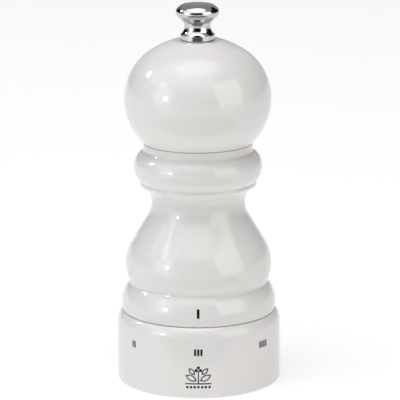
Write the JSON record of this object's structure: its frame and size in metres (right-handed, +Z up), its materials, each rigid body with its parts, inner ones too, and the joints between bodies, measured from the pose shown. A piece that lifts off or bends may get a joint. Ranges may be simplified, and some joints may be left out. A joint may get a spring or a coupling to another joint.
{
  "type": "pepper mill",
  "caption": "Small turned pepper mill with a ball head, a round metal knob, a waisted body and a turning foot ring that sets the coarseness of the grind.",
  "frame": {"origin": "centre of the circle that the mill stands on, at the underside of the selector ring", "axes": "+Z up along the axis of the mill towards the knob, -Y towards the front, where the index mark is"},
  "size_m": [0.0516, 0.0516, 0.12],
  "materials": {
    "lacquered_beech": "high-gloss white lacquer outside, bare beech on the hidden faces",
    "chromed_brass": "polished chrome plate",
    "zinc_plated_steel": "bright zinc plate",
    "hardened_steel": "case-hardened, machined teeth",
    "spring_steel": "drawn and tempered",
    "sintered_bronze": "satin, oil-filled",
    "black_acetal": "moulded, fine satin",
    "natural_nylon": "moulded, slightly translucent",
    "printed_ink": "pad-printed marks"
  },
  "bodies": {
    "mill_body": {"body": "lacquered_beech", "works_housing": "black_acetal", "grinding_ring": "hardened_steel", "guide_plate": "zinc_plated_steel", "housing_screws": "zinc_plated_steel", "stop_pin": "zinc_plated_steel", "click_spring": "spring_steel"},
    "selector": {"selector_ring": "lacquered_beech", "adjuster": "black_acetal", "base_plate": "black_acetal", "base_plate_screws": "zinc_plated_steel"},
    "bridge": {"bridge": "black_acetal", "bridge_bush": "sintered_bronze"},
    "cone": {"grinding_cone": "hardened_steel"},
    "shaft": {"shaft": "zinc_plated_steel", "shaft_circlip": "spring_steel", "spring_washer": "zinc_plated_steel", "cone_spring": "spring_steel"},
    "head": {"head": "lacquered_beech", "drive_plate": "zinc_plated_steel", "drive_plate_screws": "zinc_plated_steel"},
    "knob_washer": {"knob_washer": "natural_nylon"},
    "knob": {"knob": "chromed_brass"}
  },
  "joints": [
    {"name": "grind_select", "type": "hinge", "parent": "mill_body", "child": "selector", "pos_m": [0, 0, 0.01], "axis": [0, 0, 1], "range_deg": [-154.29, 102.86], "deforming": ["click_spring"]},
    {"name": "bridge_lift", "type": "slide", "parent": "mill_body", "child": "bridge", "axis": [0, 0, 1], "range_m": [-0.00061, 0.00041]},
    {"name": "head_turn", "type": "hinge", "parent": "mill_body", "child": "shaft", "pos_m": [0, 0, 0.03], "axis": [0, 0, 1], "continuous": true},
    {"name": "cone_lift", "type": "slide", "parent": "shaft", "child": "cone", "axis": [0, 0, 1], "range_m": [-0.00061, 0.00041], "deforming": ["cone_spring"]},
    {"name": "head_lift", "type": "slide", "parent": "shaft", "child": "head", "axis": [0, 0, 1], "range_m": [0, 0.052]},
    {"name": "knob_lift", "type": "slide", "parent": "head", "child": "knob_washer", "axis": [0, 0, 1], "range_m": [0, 0.0081]},
    {"name": "knob_spin", "type": "hinge", "parent": "knob_washer", "child": "knob", "pos_m": [0, 0, 0.112], "axis": [0, 0, 1], "range_deg": [0, 3600]}
  ],
  "couplings": [
    {"joint": "bridge_lift", "follows": "grind_select", "m_per_rad": 0.00022282},
    {"joint": "cone_lift", "follows": "grind_select", "m_per_rad": 0.00022282},
    {"joint": "knob_lift", "follows": "knob_spin", "m_per_rad": 0.00012732}
  ]
}
